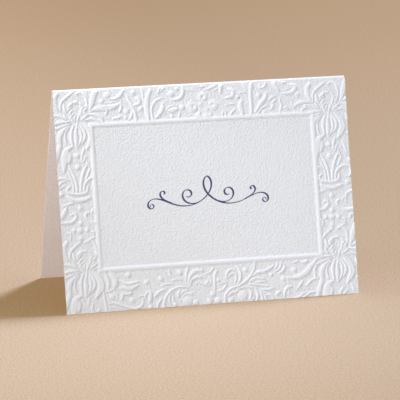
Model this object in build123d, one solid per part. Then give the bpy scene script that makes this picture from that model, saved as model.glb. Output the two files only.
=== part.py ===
from build123d import *
from math import cos, pi, radians, sin, sqrt
import os

# Greeting card: one sheet of heavy white paper, folded once, with a plain centre, a half round
# bead round it and a deep floral and scroll emboss that runs off the cut edges of its front.
# Millimetres. +Z is up and +X runs along the fold. The card stands as a tent on the floor at
# z = 0, with its embossed panel towards -Y. The origin is on the floor under the fold.

# Sheet
card_width = 130.0
panel_height = 95.2
sheet_thickness = 0.4
fold_radius = 0.9
lean_angle = 16.4

# Bead: its outer edge lies this far from the cut edges
side_margin = 14.6
top_margin = 14.5
bottom_margin = 16.6
bead_width = 2.3
bead_height = 0.42

# Emboss
relief_height = 0.4
relief_root = 0.2
crest_share = 0.5
broad_width = 1.7
blunt_width = 1.0
facet_length = 2.6
fold_margin = 1.0
bead_lap = 0.6
slab_depth = 4.0
pearl_sides = 10
pearl_draft = 20.0
hollow_depth = 0.34
hollow_share = 0.85
hollow_from_width = 2.0
smallest_chip = 0.01

# Layout: the iris and column patterns of the left side repeat on the right side, and the two
# bands keep to the middle of the width
right_shift = card_width - 18.0
right_drop = 1.3
iris_drop = 63.2
band_centre = 65.0
band_foot = 95.2

# Ornament. A stroke is the line that it follows, from the panel's top left corner with y down,
# and its widths at the start, in the middle and at the end. A pearl is x, y and its radius.

# Iris, with its hanging petals and leaves
IRIS = (
    # standing blades
    (((2.9, 9.4), (3.0, 6.6), (4.4, 4.3), (8.2, 1.5)), (0.7, 1.2, 0.9)),
    (((2.1, 8.9), (0.7, 6.7), (0.6, 3.7), (1.9, 1.5)), (0.6, 2.3, 1.5)),
    (((10.1, 2.1), (12.0, 1.3), (13.9, 2.8), (14.5, 5.6), (14.6, 8.8)), (0.8, 1.2, 0.8)),
    (((15.3, 9.8), (16.6, 6.5), (17.5, 3.5), (19.4, -0.4)), (0.4, 2.5, 3.0)),
    # petals of the head
    (((5.8, 8.3), (7.1, 6.9), (8.4, 5.4)), (0.6, 1.8, 0.6)),
    (((8.5, 5.9), (9.8, 5.5), (11.0, 6.0)), (0.5, 1.3, 0.5)),
    (((11.1, 5.8), (12.2, 6.8), (12.9, 8.4)), (0.6, 1.4, 0.5)),
    (((14.6, 6.7), (13.9, 8.3), (13.1, 10.3)), (0.5, 1.5, 0.5)),
    (((4.3, 5.8), (4.7, 8.0), (5.5, 10.1)), (0.5, 1.6, 0.5)),
    (((7.6, 8.6), (7.0, 10.3), (7.5, 12.1), (8.1, 13.7)), (0.5, 1.4, 0.4)),
    (((11.9, 7.8), (11.8, 9.6), (11.2, 11.7)), (0.5, 1.2, 0.5)),
    (((11.6, 13.2), (13.3, 11.8), (15.2, 10.6)), (0.4, 1.6, 0.5)),
    # rays to the left
    (((-0.8, 10.7), (2.4, 11.2), (5.4, 12.9)), (1.2, 1.3, 0.4)),
    (((-0.8, 14.6), (3.0, 13.7), (7.0, 13.7)), (1.1, 1.5, 0.4)),
    (((-0.8, 16.9), (3.0, 15.6), (7.3, 14.4)), (0.9, 1.2, 0.4)),
    # hanging petals
    (((6.4, 15.4), (3.4, 17.4), (1.7, 20.4), (2.1, 24.6)), (0.5, 2.3, 1.2)),
    (((8.4, 15.2), (7.2, 17.4), (6.8, 20.4), (7.3, 24.0)), (0.4, 1.6, 0.6)),
    (((9.0, 16.6), (9.0, 20.4), (8.8, 24.6)), (0.6, 1.9, 0.7)),
    (((10.2, 15.5), (11.2, 18.6), (11.0, 21.8), (8.9, 25.2)), (0.5, 1.2, 0.5)),
    (((11.0, 15.3), (12.6, 17.9), (12.8, 20.6), (11.3, 23.2)), (0.5, 1.5, 0.6)),
    (((12.3, 15.1), (14.9, 17.6), (15.6, 21.4), (13.0, 25.9)), (0.5, 3.0, 0.7)),
    (((1.6, 23.8), (0.4, 27.3), (-1.0, 31.0)), (1.8, 2.2, 1.6)),
    # lobed leaf that hangs at the left
    (((4.7, 26.4), (5.3, 28.4), (4.9, 30.6)), (1.4, 2.8, 2.0)),
    (((7.3, 24.2), (4.6, 25.6), (3.4, 28.2), (3.2, 31.2), (2.8, 34.9)), (0.5, 2.9, 0.4)),
    # leaves to the right
    (((15.5, 9.9), (18.4, 8.7), (22.0, 8.7), (26.0, 8.2), (29.4, 6.7)), (0.4, 2.7, 0.6)),
    (((22.9, 9.0), (22.9, 10.2), (22.3, 11.6)), (1.6, 1.2, 0.4)),
    (((29.2, 7.0), (29.3, 8.8), (28.5, 10.8)), (0.9, 1.3, 0.5)),
    (((14.8, 10.7), (17.8, 11.2), (20.0, 12.4), (21.1, 14.6)), (0.4, 1.9, 0.8)),
    (((12.4, 13.7), (15.6, 12.9), (18.0, 13.4), (20.0, 14.6)), (0.4, 1.3, 0.8)),
    # narrow petals beside the last hanging one
    (((17.4, 15.2), (18.8, 19.0), (18.4, 23.0)), (0.6, 1.4, 0.5)),
    (((19.6, 15.4), (21.9, 18.6), (21.4, 22.4)), (1.0, 2.5, 0.6)),
)

# Stems and urn between two irises
COLUMN = (
    # stems that rise from the urn
    (((4.8, 32.0), (6.6, 36.0), (7.7, 40.0), (8.0, 43.8)), (0.5, 1.3, 1.0)),
    (((12.8, 32.3), (11.0, 35.8), (9.9, 39.5), (9.4, 43.8)), (0.6, 1.4, 0.9)),
    (((10.9, 43.8), (11.4, 40.5), (14.0, 38.1), (17.0, 38.1), (18.4, 40.3), (17.2, 42.4), (15.6, 42.1)),
     (1.0, 1.4, 1.1)),
    # urn: curled rim and the band under it
    (((4.9, 41.2), (3.6, 42.2), (4.6, 43.9), (8.5, 44.6), (12.0, 43.9), (12.6, 41.4)), (0.9, 1.5, 1.0)),
    (((3.9, 45.6), (6.2, 47.0), (9.6, 47.2), (13.3, 46.2)), (1.1, 2.0, 1.3)),
    # scrolls at the sides
    (((3.0, 49.6), (1.8, 52.0), (0.0, 54.6)), (0.5, 2.0, 1.2)),
    (((4.7, 53.2), (6.1, 52.7), (6.7, 54.3), (4.9, 56.1), (2.3, 56.5), (-0.8, 56.4)), (1.0, 1.5, 1.5)),
    (((17.9, 48.9), (15.6, 50.1), (14.8, 52.3), (15.4, 54.2)), (1.0, 1.2, 0.4)),
    (((12.0, 55.8), (14.6, 57.0), (19.0, 56.9)), (0.4, 1.6, 1.6)),
    (((12.5, 52.7), (11.1, 52.9), (10.8, 54.3), (12.0, 55.5)), (0.6, 1.2, 0.6)),
)
COLUMN_PEARLS = (
    (8.8, 28.2, 1.2), (8.8, 33.2, 1.2), (0.7, 44.4, 1.1), (8.7, 50.6, 1.1), (8.3, 57.0, 1.1),
    (5.3, 59.9, 1.0), (8.1, 59.9, 1.3), (11.1, 59.9, 1.1), (7.9, 63.5, 1.1), (17.5, 35.5, 0.9),
    (16.3, 45.0, 1.2),
)

# Band beside the fold, with the rosette
TOP = (
    (((24.2, 4.9), (27.3, 4.7), (29.8, 2.9), (31.5, -0.4)), (0.6, 1.5, 1.5)),
    (((31.7, 2.6), (32.6, 5.3), (34.0, 8.0), (35.1, 11.0), (35.6, 15.0)), (0.5, 1.3, 1.6)),
    (((36.3, 5.2), (37.6, 6.1), (37.0, 7.6), (34.4, 8.1)), (1.2, 1.6, 0.5)),
    (((42.5, 2.2), (41.1, 5.2), (40.5, 9.2), (41.0, 15.0)), (1.5, 2.4, 1.3)),
    (((47.4, 7.6), (47.6, 9.8), (46.3, 12.0), (44.2, 14.2)), (0.5, 2.0, 0.6)),
    (((56.9, 1.2), (57.0, 3.5), (55.8, 5.7), (53.5, 6.6), (51.4, 6.3)), (0.9, 1.5, 0.5)),
    (((49.6, 11.2), (51.6, 11.2), (54.0, 10.6)), (0.6, 2.3, 1.0)),
    (((67.1, 3.1), (70.4, 1.9), (73.6, 0.1)), (0.4, 1.3, 1.0)),
    (((75.6, -0.2), (73.9, 1.9), (73.5, 4.8)), (1.5, 1.7, 0.8)),
    (((77.4, 3.3), (79.1, 4.2), (78.5, 6.4), (75.1, 7.2)), (1.4, 1.9, 0.5)),
    (((82.7, 8.6), (82.1, 10.6), (82.9, 15.0)), (1.3, 2.3, 1.4)),
    (((87.9, -0.4), (87.3, 3.0), (86.9, 6.4), (87.0, 10.6), (86.8, 15.0)), (1.8, 1.5, 1.6)),
    (((94.1, -0.4), (93.9, 1.9), (92.7, 3.4), (91.2, 3.1), (91.2, 2.2)), (1.2, 1.3, 1.0)),
    (((94.1, 5.5), (93.3, 8.0), (91.0, 10.6), (88.7, 13.8)), (0.5, 1.9, 1.0)),
    (((95.1, 9.1), (96.3, 7.9), (98.0, 7.5)), (0.4, 1.3, 0.6)),
    (((96.2, 10.1), (97.5, 9.4), (98.7, 8.5)), (0.4, 1.2, 0.5)),
    (((96.8, 10.6), (96.5, 11.9), (95.4, 13.3)), (0.5, 1.3, 0.4)),
    (((97.1, -0.4), (98.0, 2.5), (100.0, 5.2)), (1.7, 1.9, 0.5)),
    (((105.4, 2.8), (107.2, 3.6), (106.4, 5.6), (103.9, 6.5), (100.8, 6.4)), (1.5, 1.9, 0.5)),
    (((106.4, 12.2), (109.0, 10.8), (112.4, 10.5), (115.6, 10.8)), (0.7, 1.9, 0.8)),
    (((109.2, 14.8), (111.0, 13.1), (114.8, 12.4)), (0.9, 1.2, 0.5)),
)
TOP_PEARLS = (
    (20.9, 5.7, 1.0), (23.5, 3.2, 1.5), (34.9, 2.7, 1.1), (37.9, 9.5, 1.2), (31.6, 10.6, 1.1),
    (51.5, 4.1, 1.5), (54.3, 2.0, 0.9), (56.2, 10.1, 1.2), (65.5, 1.2, 0.9), (81.0, 6.9, 0.9),
    (90.6, 6.6, 1.2), (101.4, 0.4, 2.2), (108.0, 7.1, 1.1), (65.5, 6.1, 2.3), (70.0, 9.9, 2.4),
    (60.8, 10.2, 2.4), (63.5, 14.4, 2.1), (67.3, 14.3, 2.1), (65.7, 10.3, 2.5),
)

# Band above the foot
BOTTOM = (
    # lobed leaf at the left
    (((23.6, 82.4), (27.5, 83.9), (32.0, 83.2)), (0.6, 1.6, 0.7)),
    (((24.0, 85.4), (28.0, 86.0), (32.0, 84.7)), (1.0, 2.2, 0.9)),
    (((24.7, 88.1), (27.0, 88.3), (28.9, 87.6)), (0.9, 1.6, 0.8)),
    (((24.8, 87.6), (24.5, 89.2), (23.9, 90.6)), (0.9, 1.4, 0.5)),
    # long scroll
    (((18.5, 92.0), (20.8, 91.8), (24.2, 93.0), (27.6, 94.3), (30.9, 94.6), (33.1, 93.1), (33.5, 90.7)),
     (0.6, 1.2, 0.8)),
    (((36.8, 87.7), (36.8, 90.2), (36.0, 93.0)), (1.2, 1.8, 0.5)),
    # left acanthus
    (((38.5, 90.4), (40.8, 88.3), (44.0, 87.3)), (0.5, 1.4, 0.4)),
    (((39.6, 95.8), (40.0, 93.2), (42.0, 91.1)), (1.0, 1.3, 0.5)),
    (((42.3, 95.9), (42.8, 92.4), (44.3, 89.8), (46.8, 87.7), (50.0, 86.9), (54.2, 87.5)),
     (1.2, 1.2, 0.5)),
    (((50.3, 87.8), (49.2, 89.4), (49.0, 91.6)), (0.4, 1.2, 0.5)),
    # plumes
    (((54.3, 78.8), (53.1, 81.5), (52.9, 84.8)), (0.6, 1.2, 0.5)),
    (((53.8, 86.0), (54.8, 82.6), (57.2, 80.5), (60.4, 80.5)), (0.5, 1.8, 1.3)),
    (((54.4, 86.6), (55.4, 84.3), (57.2, 83.3), (59.8, 83.1)), (0.4, 1.4, 1.2)),
    (((66.8, 81.1), (65.8, 82.7), (65.5, 85.6), (65.3, 89.8)), (0.9, 1.2, 0.6)),
    # arches
    (((70.8, 85.2), (71.2, 82.4), (73.0, 80.9), (75.0, 81.4)), (0.5, 1.2, 0.5)),
    (((75.8, 79.6), (77.1, 82.3), (77.0, 85.0), (75.6, 87.4)), (0.6, 1.3, 0.5)),
    # stem of the spray, and the leaves on it
    (((82.4, 84.5), (85.0, 82.9), (88.5, 82.5), (92.0, 80.7)), (0.5, 1.7, 0.8)),
    (((80.9, 86.8), (84.0, 85.4), (87.8, 86.1)), (0.5, 1.4, 0.5)),
    (((79.8, 87.8), (85.0, 88.4), (90.0, 89.3)), (0.5, 1.2, 0.5)),
    (((70.6, 92.9), (72.5, 91.1), (76.0, 90.4)), (0.5, 1.2, 0.5)),
    (((80.5, 89.9), (81.4, 92.0), (80.7, 94.7)), (0.5, 1.3, 0.5)),
    (((83.1, 89.9), (84.4, 92.3), (83.5, 95.8)), (0.6, 1.3, 0.9)),
    (((86.2, 90.5), (89.0, 90.7), (91.9, 89.9)), (0.4, 1.3, 0.5)),
    (((87.8, 92.9), (90.0, 93.2), (91.7, 95.6)), (0.4, 1.5, 0.8)),
    (((92.5, 93.6), (93.6, 92.3), (95.1, 91.9)), (0.5, 1.2, 0.4)),
    # fan bud
    (((92.4, 83.2), (94.8, 82.0), (95.8, 79.6)), (0.5, 1.2, 0.6)),
    (((94.0, 84.1), (96.0, 83.3), (97.3, 81.3)), (0.5, 1.5, 0.8)),
    (((104.5, 79.8), (106.3, 80.0), (107.8, 79.2)), (0.6, 1.5, 0.5)),
    # long leaf and its curls
    (((98.2, 86.3), (102.5, 86.3), (106.5, 84.6), (109.0, 82.0), (112.2, 79.0)), (0.5, 2.5, 0.9)),
    (((115.2, 79.0), (112.3, 80.9), (110.7, 83.5), (110.8, 86.8)), (0.6, 1.2, 1.0)),
    (((102.0, 91.5), (103.6, 89.8), (105.0, 88.1)), (0.5, 1.2, 0.5)),
    (((106.1, 90.6), (107.8, 88.9), (109.3, 87.8), (112.2, 87.3)), (0.5, 1.2, 0.8)),
    (((96.3, 94.2), (96.7, 91.8), (98.2, 90.3), (100.0, 90.3)), (0.5, 1.3, 0.5)),
    (((103.9, 95.8), (106.2, 94.3), (108.2, 93.4), (110.8, 93.2)), (0.8, 1.2, 0.7)),
)
BOTTOM_PEARLS = (
    (27.7, 80.2, 1.2), (35.4, 83.8, 1.2), (41.9, 82.8, 1.2), (20.1, 88.9, 1.3), (28.7, 91.1, 1.2),
    (50.2, 80.7, 1.3), (53.3, 92.8, 2.2), (47.3, 94.3, 1.1), (56.6, 94.0, 1.2), (62.7, 93.8, 1.3),
    (66.5, 93.8, 1.3), (62.2, 85.6, 0.9), (67.1, 85.2, 0.9), (64.3, 90.9, 1.2), (79.5, 81.6, 1.1),
    (77.5, 92.6, 2.2), (72.2, 93.9, 1.2), (96.3, 86.5, 1.3), (101.4, 83.0, 1.2), (36.6, 94.4, 1.0),
)

# Straight part of a panel below the fold, and the part of its height that bends
bend_length = (fold_radius - sheet_thickness / 2) * (pi / 2 - radians(lean_angle))
panel_run = panel_height - bend_length
inner_radius = fold_radius - sheet_thickness
outward = Vector(0, -cos(radians(lean_angle)), sin(radians(lean_angle)))
downward = Vector(0, -sin(radians(lean_angle)), -cos(radians(lean_angle)))
fold_centre = Vector(0, 0, -panel_run * downward.Z - inner_radius * outward.Z)
front_top = fold_centre + outward * fold_radius
front_panel = Location(Plane(origin=front_top, x_dir=(1, 0, 0), z_dir=outward))


def folded_sheet():
    """The bare sheet: its section across the fold, drawn out along the fold."""
    def run(radius):
        top = fold_centre + outward * radius
        foot = top + downward * panel_run
        return [(foot.Y, foot.Z), (top.Y, top.Z), (0, fold_centre.Z + radius), (-top.Y, top.Z), (-foot.Y, foot.Z)]

    out = run(fold_radius)
    inside = run(inner_radius)
    edges = []
    for side in (out, inside):
        edges.append(Line(side[0], side[1]))
        edges.append(ThreePointArc(side[1], side[2], side[3]))
        edges.append(Line(side[3], side[4]))
    edges.append(Line(out[0], inside[0]))
    edges.append(Line(out[4], inside[4]))
    return extrude(Plane.YZ * make_face(edges), amount=card_width / 2, both=True)


def on_panel(x, y):
    """A point of the front panel, given from its top left corner, in the panel's own plane."""
    return x - card_width / 2, bend_length - y


def bead_ring(inset, floor, root):
    """The bead, or the groove behind it, as one moulding with mitred corners."""
    radius = (bead_width ** 2 / 4 + bead_height ** 2) / (2 * bead_height)
    centre = bead_height - radius
    arc_radius = radius - inset
    half = sqrt(arc_radius ** 2 - (floor - centre) ** 2)
    section = make_face([
        Line((-half, floor - root), (-half, floor)),
        ThreePointArc((-half, floor), (0, centre + arc_radius), (half, floor)),
        Line((half, floor), (half, floor - root)),
        Line((half, floor - root), (-half, floor - root)),
    ])
    left, top = on_panel(side_margin + bead_width / 2, top_margin + bead_width / 2)
    right, foot = on_panel(card_width - side_margin - bead_width / 2, panel_height - bottom_margin - bead_width / 2)
    middle = (left + right) / 2
    path = Polyline((middle, top), (right, top), (right, foot), (left, foot), (left, top), (middle, top))
    start = Plane(origin=(middle, top, 0), x_dir=(0, 1, 0), z_dir=(1, 0, 0))
    return sweep(start * section, path=path, transition=Transition.RIGHT)


def stroke_width(widths, share):
    """Width of a stroke at a share of its length: full in the middle, slimmer at its ends."""
    start, middle, end = widths
    if share < 0.5:
        return middle - (middle - start) * (1 - 2 * share) ** 2
    return middle - (middle - end) * (2 * share - 1) ** 2


def stations(spine):
    """Shares of a stroke's length where its edges have a corner."""
    count = max(2, round(spine.length / facet_length))
    return [(i + 0.6) / (count + 0.2) for i in range(count)]


def beside(spine, share, offset, z):
    """The point at one side of a stroke's spine."""
    point = spine @ share
    along = spine % share
    return Vector(point.X - along.Y * offset, point.Y + along.X * offset, z)


def leaf_ring(spine, widths, scale, z):
    """Outline of a broad stroke at one height, with blunt ends where they are wide."""
    left = [beside(spine, s, scale * stroke_width(widths, s) / 2, z) for s in stations(spine)]
    right = [beside(spine, s, -scale * stroke_width(widths, s) / 2, z) for s in stations(spine)]
    ends = []
    for share, width in ((0, widths[0]), (1, widths[2])):
        if width > blunt_width:
            offset = scale * width / 2
            ends.append([beside(spine, share, offset, z), beside(spine, share, -offset, z)])
        else:
            ends.append([beside(spine, share, 0, z)])
    return Wire.make_polygon(ends[0][::-1] + left + ends[1] + right[::-1])


def leaf(spine, widths, floor, height, root):
    """A broad stroke: sloped flanks up to a flat back."""
    spread = 1 + (1 - crest_share) * root / height
    foot = leaf_ring(spine, widths, spread, floor - root)
    back = leaf_ring(spine, widths, crest_share, floor + height)
    return Solid.make_loft([foot, back], ruled=True)


def ridge(spine, widths):
    """A narrow stroke: two flanks that meet in a crest, and fall to a point at each end."""
    shares = stations(spine)
    tips = [beside(spine, 0, 0, 0), beside(spine, 1, 0, 0)]
    left = [beside(spine, s, stroke_width(widths, s) / 2, 0) for s in shares]
    right = [beside(spine, s, -stroke_width(widths, s) / 2, 0) for s in shares]
    crest = [beside(spine, s, 0, ridge_height(stroke_width(widths, s))) for s in shares]
    outline = [tips[0]] + left + [tips[1]] + right[::-1]
    sunk = [point - Vector(0, 0, relief_root) for point in outline]
    faces = [sunk]
    for i in range(len(outline)):
        faces.append([sunk[i - 1], sunk[i], outline[i], outline[i - 1]])
    for flank in (left, right):
        faces.append([tips[0], flank[0], crest[0]])
        faces.append([flank[-1], tips[1], crest[-1]])
        for i in range(1, len(flank)):
            faces.append([flank[i - 1], flank[i], crest[i]])
            faces.append([flank[i - 1], crest[i], crest[i - 1]])
    return Solid(Shell([Face(Wire.make_polygon(corners)) for corners in faces]))


def ridge_height(width):
    """A thin ridge stands a little lower than a broad one."""
    return relief_height * min(1.0, 0.55 + 0.25 * width)


def pearl(x, y, radius):
    """A round boss with a sloped side."""
    centre = Location((*on_panel(x, y), -relief_root))
    disc = RegularPolygon(radius, pearl_sides).face().moved(centre)
    return extrude(disc, amount=relief_height + relief_root, taper=pearl_draft).solid()


def ornament():
    """Every stroke and pearl of the border, moved to its place."""
    band_shift = card_width / 2 - band_centre
    groups = [(TOP, TOP_PEARLS, band_shift, 0), (BOTTOM, BOTTOM_PEARLS, band_shift, panel_height - band_foot)]
    for x, y in ((0, 0), (right_shift, right_drop)):
        groups.append((IRIS, (), x, y))
        groups.append((IRIS, (), x, y + iris_drop))
        groups.append((COLUMN, COLUMN_PEARLS, x, y))
    strokes = []
    pearls = []
    for group, dots, dx, dy in groups:
        for points, widths in group:
            spine = Spline(*[on_panel(x + dx, y + dy) for x, y in points])
            strokes.append((spine, widths))
        pearls += [(x + dx, y + dy, radius) for x, y, radius in dots]
    return strokes, pearls


def border():
    """The border as a slab: the ornament is trimmed by it at the cut edges, fold and bead."""
    left, top = on_panel(0, fold_margin)
    right, foot = on_panel(card_width, panel_height)
    hole_left, hole_top = on_panel(side_margin + bead_lap, top_margin + bead_lap)
    hole_right, hole_foot = on_panel(card_width - side_margin - bead_lap, panel_height - bottom_margin - bead_lap)
    slab = Box(right - left, top - foot, slab_depth).moved(Location(((left + right) / 2, (top + foot) / 2, 0)))
    hole = Box(hole_right - hole_left, hole_top - hole_foot, slab_depth)
    return slab - hole.moved(Location(((hole_left + hole_right) / 2, (hole_top + hole_foot) / 2, 0)))


def trimmed(shape, region):
    """The parts of one boss that lie in the region."""
    cut = region & shape
    return [piece for piece in cut.solids() if piece.volume > smallest_chip]


def embossed_card():
    """The folded sheet with its bead and ornament raised, and hollow behind where they are broad."""
    strokes, pearls = ornament()
    region = border()
    raised = [bead_ring(0, 0, relief_root)]
    hollows = [bead_ring(sheet_thickness, -sheet_thickness, relief_root)]
    for spine, widths in strokes:
        broad = widths[1] >= broad_width or max(widths[0], widths[2]) > blunt_width
        boss = leaf(spine, widths, 0, relief_height, relief_root) if broad else ridge(spine, widths)
        raised += trimmed(boss, region)
        if widths[1] >= hollow_from_width:
            inside = tuple(hollow_share * width for width in widths)
            hollows += trimmed(leaf(spine, inside, -sheet_thickness, hollow_depth, relief_root), region)
    for x, y, radius in pearls:
        raised += trimmed(pearl(x, y, radius), region)
    sheet = folded_sheet().fuse(*[boss.moved(front_panel) for boss in raised])
    return sheet.cut(*[hollow.moved(front_panel) for hollow in hollows])


os.makedirs("parts", exist_ok=True)
export_step(embossed_card(), "parts/card.step")
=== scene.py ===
import math

import bpy
import numpy as np
from mathutils import Matrix, Vector


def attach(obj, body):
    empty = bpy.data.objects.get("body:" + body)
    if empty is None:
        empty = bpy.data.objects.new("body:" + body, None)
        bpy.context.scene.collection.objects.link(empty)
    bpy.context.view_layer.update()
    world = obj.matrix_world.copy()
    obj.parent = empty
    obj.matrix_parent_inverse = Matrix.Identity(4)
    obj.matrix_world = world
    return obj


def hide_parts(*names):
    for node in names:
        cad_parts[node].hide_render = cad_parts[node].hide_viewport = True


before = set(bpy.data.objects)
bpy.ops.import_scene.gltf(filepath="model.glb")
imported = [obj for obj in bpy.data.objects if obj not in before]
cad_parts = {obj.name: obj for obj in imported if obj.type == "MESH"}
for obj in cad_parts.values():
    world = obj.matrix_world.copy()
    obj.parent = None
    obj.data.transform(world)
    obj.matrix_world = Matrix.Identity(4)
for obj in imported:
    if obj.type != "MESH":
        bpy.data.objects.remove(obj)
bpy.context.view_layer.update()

# Folded note card, embossed from behind. Sizes are in millimetres until a mesh is made.
MM = 0.001
CARD_WIDTH = 130.0
PANEL_HEIGHT = 95.2
SHEET_THICKNESS = 0.4
FOLD_RADIUS = 0.9
LEAN = math.radians(16.4)

# Bead round the plain centre
SIDE_MARGIN = 14.6
TOP_MARGIN = 14.5
BOTTOM_MARGIN = 16.6
BEAD_WIDTH = 2.3
BEAD_HEIGHT = 0.42

# Ornament: its height, the bare strip along the fold and the rise beside that strip
RELIEF_HEIGHT = 0.4
FOLD_MARGIN = 1.0
FOLD_EASE = 0.6

# Right column from the left one, and lower irises from the upper ones
RIGHT_SHIFT = CARD_WIDTH - 18.0
RIGHT_DROP = 1.3
IRIS_DROP = 63.2

# Section of a stroke: share of its width that rises, width of its flank, fall of its top from
# the spine, the groove that parts it from what it crosses, and the width that has a vein
STROKE_SHARE = 0.88
FLANK = 0.25
CROWN = 0.05
GROOVE_WIDTH = 0.36
GROOVE_DEPTH = 0.8
VEIN_FROM_WIDTH = 2.9
# Height of a stroke as a share of the ornament's: at no width, and what each millimetre of its
# middle width adds. Depth of a vein as a share of the height, and its width as one of half the
# stroke's
THIN_CREST = 0.6
CREST_GAIN = 0.25
VEIN_DEPTH = 0.3
VEIN_WIDTH = 0.16

# How far the paper eases a crease, and how much of the relief shows on the inner face
CREASE_EASE = 0.12
HOLLOW_SHARE = 0.75

# Mesh lines: the front's spacing, how many of them make one on the inner face, the ease beside
# the bead, and the rows of the back panel and of the fold
FRONT_PITCH = 0.285
INNER_STEP = 4
CENTRE_EASE = 0.4
BACK_ROWS = 4
FOLD_ROWS = 10

# Pen flourish: its middle on the panel, the nib's thin line, what its slant adds to that and the
# power of it, the slant in degrees, the share of a line that its tip takes, the share of the width
# that the tip starts with, the ink's height as a share of its width, the corners of the nib's
# outline and the points of a pen line
FLOURISH_X = 65.1
FLOURISH_Y = 47.2
HAIRLINE = 0.36
SWELL = 0.5
SWELL_POWER = 1.5
NIB_SLANT = 20.0
TIP_SHARE = 0.08
TIP_WIDTH = 0.45
INK_SHARE = 0.08
NIB_CORNERS = 8
PEN_STEPS = 140
# Middle loop: where it starts, its length, the turn on each side of its crown and the power of
# that turn
PEN_LOOP = ((0.0, -0.6), 17.5, 130.0, 0.46)
# Right half's pen lines: start, heading, length, even turn over the length, curl at the end and
# its power
PEN_LINES = (
    ((0.0, -0.6), -50.0, 37.0, 165.0, -600.0, 6.0),
    ((0.0, -0.6), -50.0, 24.0, 107.0, 350.0, 3.0),
    ((16.2, -3.6), 20.0, 11.0, 20.0, 330.0, 3.5),
)

# Paper tooth: size and depth of the felt's mark and of the fibres, and the share of the felt's
# mark that the die leaves on the raised strokes. It is drawn coarser and deeper than real tooth,
# so that it shows in a small render
FELT_MARK = 0.75
FELT_DEPTH = 0.46
FIBRE_MARK = 0.45
FIBRE_DEPTH = 0.03
IRONED_SHARE = 0.25
# Size of the faint clouds in the sheet and in the ink
CARD_CLOUD = 9.0
INK_CLOUD = 0.6

CARD_WHITE = "#eef0f4"
CARD_SHADE = "#eaecf0"
INK_DEEP = "#3a4068"
INK_THIN = "#525b86"
FLOOR_DEEP = "#deb188"
FLOOR_PALE = "#ffeecf"

# Floor: its half width in metres, its grain and the levels of the noise between which that goes
# from deep to pale. Then the painted light falloff: how its colour is darkened, as light falls off,
# to the front, close behind the card, far behind it and to the right, with the axis, the span in
# metres and the tone that it is multiplied by at the end of that span
FLOOR_SPAN = 4.0
FLOOR_GRAIN = 0.9
GRAIN_LEVELS = (0.14, 0.86)
PAINTED_FLOOR_FALLOFF = (
    ("Y", -0.08, -0.2, "#f3f1ee"),
    ("Y", -0.06, 0.03, "#f4f1ed"),
    ("Y", 0.0, 0.75, "#ebe1d3"),
    ("X", -0.07, 0.15, "#e9e8e6"),
)

# Camera, matched to the card's corners in the photograph
CAMERA_LENS = 232.0
CAMERA_YAW = 15.21
CAMERA_PITCH = -15.35
CAMERA_ROLL = 0.46
CAMERA_DISTANCE = 1.123
CAMERA_TARGET = (0.0004, 0.0, 0.039)

# Light: the middle of the card, the room's level, then for each lamp its direction from the card,
# its distance and soft box size in metres, its power in watts and its colour. The front and the
# raking lamp have a grid, given by its spread, and the front one is turned to a point past the
# card. The raking one is a strip, given by its width
CARD_MIDDLE = Vector((0.0, 0.0, 0.045))
ROOM_LEVEL = 0.43
ROOM_COLOUR = "#fff5d8"

FRONT_FROM = (-0.3, -0.92, 0.36)
FRONT_AWAY = 0.8
FRONT_SIZE = 0.64
FRONT_POWER = 0.79
FRONT_COLOUR = "#d0e3ff"
FRONT_SPREAD = math.radians(43.6)
FRONT_AIM = Vector((0.22, 0.0, 0.2))

RAKE_FROM = (-0.6, -0.11, 0.68)
RAKE_AWAY = 0.71
RAKE_SIZE = 0.14
RAKE_POWER = 0.095
RAKE_COLOUR = "#f6faff"
RAKE_WIDTH = 0.03
RAKE_SPREAD = math.radians(29.0)

BOUNCE_FROM = (-0.03, 0.0, -1.0)
BOUNCE_AWAY = 1.0
BOUNCE_SIZE = 0.2
BOUNCE_POWER = 4.2
BOUNCE_COLOUR = "#ffc382"

SIDE_FROM = (0.49, 0.245, 0.83)
SIDE_AWAY = 2.4
SIDE_SIZE = 0.44
SIDE_POWER = 48.0
SIDE_COLOUR = "#ccd9ff"

# Ornament. A stroke is the line that it follows, from the panel's top left corner with y down,
# and its widths at the start, in the middle and at the end. A pearl is x, y and its radius.

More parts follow.
